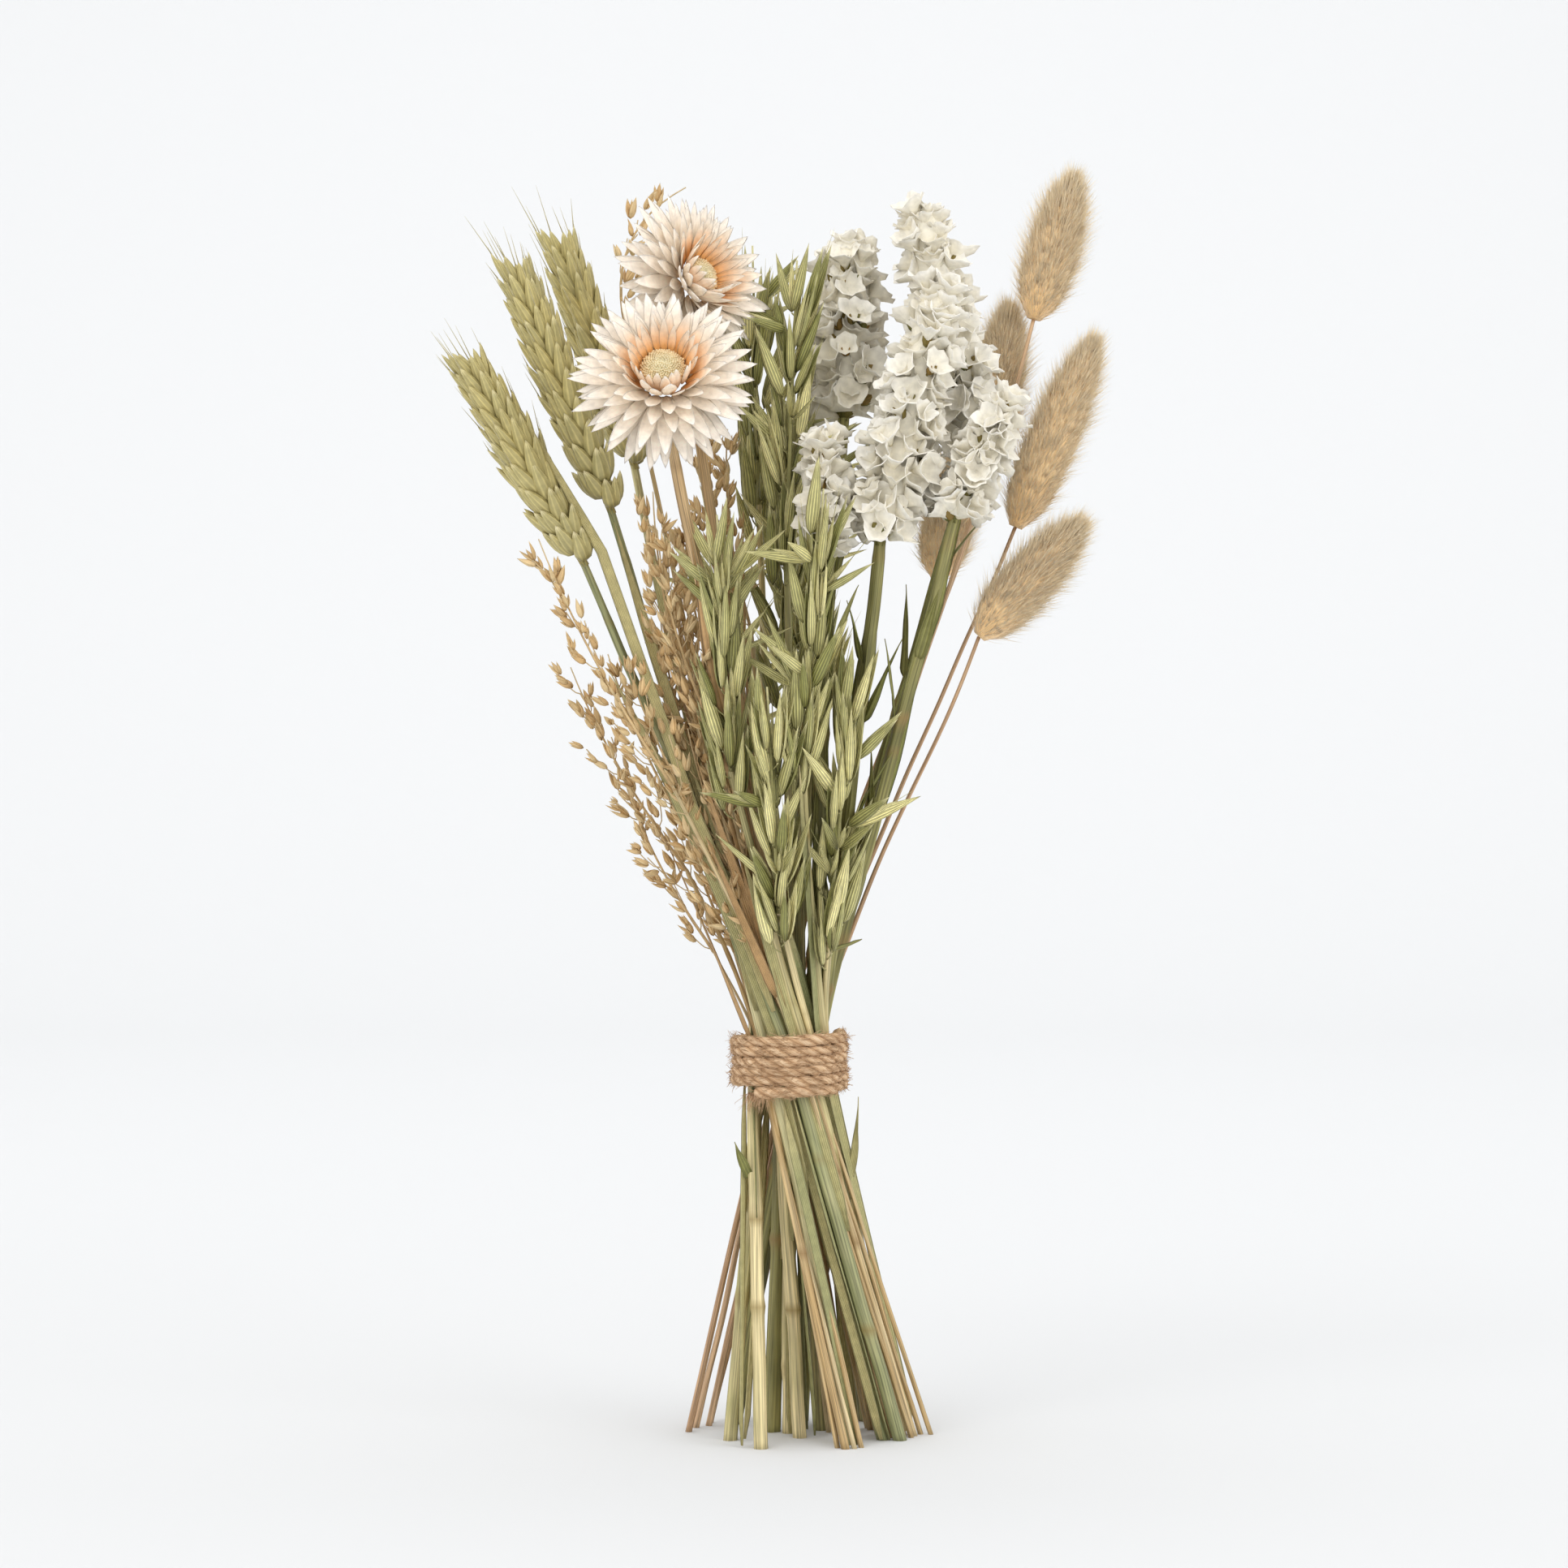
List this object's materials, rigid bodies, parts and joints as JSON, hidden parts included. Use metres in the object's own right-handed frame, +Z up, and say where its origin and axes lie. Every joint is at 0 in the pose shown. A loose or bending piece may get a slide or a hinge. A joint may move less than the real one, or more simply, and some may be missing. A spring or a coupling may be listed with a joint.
{
  "type": "dried flower bunch",
  "caption": "Tied bunch of dried flowers and grasses for indoor decoration, bound with jute twine and standing on its splayed, cut stem ends.",
  "frame": {"origin": "the cut end of the stem in the middle of the foot, on the surface that the bunch stands on", "axes": "+Z up along the bunch, +X to the right seen from the front, +Y to the back, away from the side that the flowers face"},
  "size_m": [0.1935, 0.106, 0.3825],
  "materials": {
    "straw_green": "matte",
    "wheat_husk": "matte",
    "oat_husk": "matte",
    "statice_green": "matte",
    "statice_calyx": "matte",
    "straw_brown": "matte",
    "dry_leaf": "matte",
    "strawflower_bract": "satin",
    "strawflower_centre": "matte",
    "thin_stem": "matte",
    "bunny_tail_fluff": "matte",
    "grass_husk": "matte",
    "jute_twine": "matte"
  },
  "bodies": {
    "root": {"bunny_tail_1": "bunny_tail_fluff", "bunny_tail_2": "bunny_tail_fluff", "bunny_tail_3": "bunny_tail_fluff", "bunny_tail_4": "bunny_tail_fluff", "bunny_tail_5": "bunny_tail_fluff", "bunny_tail_stem_1": "thin_stem", "bunny_tail_stem_2": "thin_stem", "bunny_tail_stem_3": "thin_stem", "bunny_tail_stem_4": "thin_stem", "bunny_tail_stem_5": "thin_stem", "grass_panicle_1": "grass_husk", "grass_panicle_2": "grass_husk", "grass_panicle_3": "grass_husk", "grass_panicle_4": "grass_husk", "grass_stem_1": "straw_brown", "grass_stem_2": "straw_brown", "grass_stem_3": "straw_brown", "grass_stem_4": "straw_brown", "oat_panicle_1": "oat_husk", "oat_panicle_2": "oat_husk", "oat_panicle_3": "oat_husk", "oat_panicle_4": "oat_husk", "oat_panicle_5": "oat_husk", "oat_panicle_6": "oat_husk", "oat_panicle_7": "oat_husk", "oat_panicle_8": "oat_husk", "oat_panicle_9": "oat_husk", "oat_stem_1": "straw_green", "oat_stem_2": "straw_green", "oat_stem_3": "straw_green", "oat_stem_4": "straw_green", "oat_stem_5": "straw_green", "oat_stem_6": "straw_green", "oat_stem_7": "straw_green", "oat_stem_8": "straw_green", "oat_stem_9": "straw_green", "statice_flowers_1": "statice_calyx", "statice_flowers_2": "statice_calyx", "statice_flowers_3": "statice_calyx", "statice_flowers_4": "statice_calyx", "statice_flowers_5": "statice_calyx", "statice_stem_1": "statice_green", "statice_stem_2": "statice_green", "statice_stem_3": "statice_green", "statice_stem_4": "statice_green", "statice_stem_5": "statice_green", "strawflower_bracts_1": "strawflower_bract", "strawflower_bracts_2": "strawflower_bract", "strawflower_disc_1": "strawflower_centre", "strawflower_disc_2": "strawflower_centre", "strawflower_leaf": "dry_leaf", "strawflower_stem_1": "straw_brown", "strawflower_stem_2": "straw_brown", "twine_binding": "jute_twine", "wheat_ear_1": "wheat_husk", "wheat_ear_2": "wheat_husk", "wheat_ear_3": "wheat_husk", "wheat_stem_1": "straw_green", "wheat_stem_2": "straw_green", "wheat_stem_3": "straw_green"}
  },
  "joints": []
}
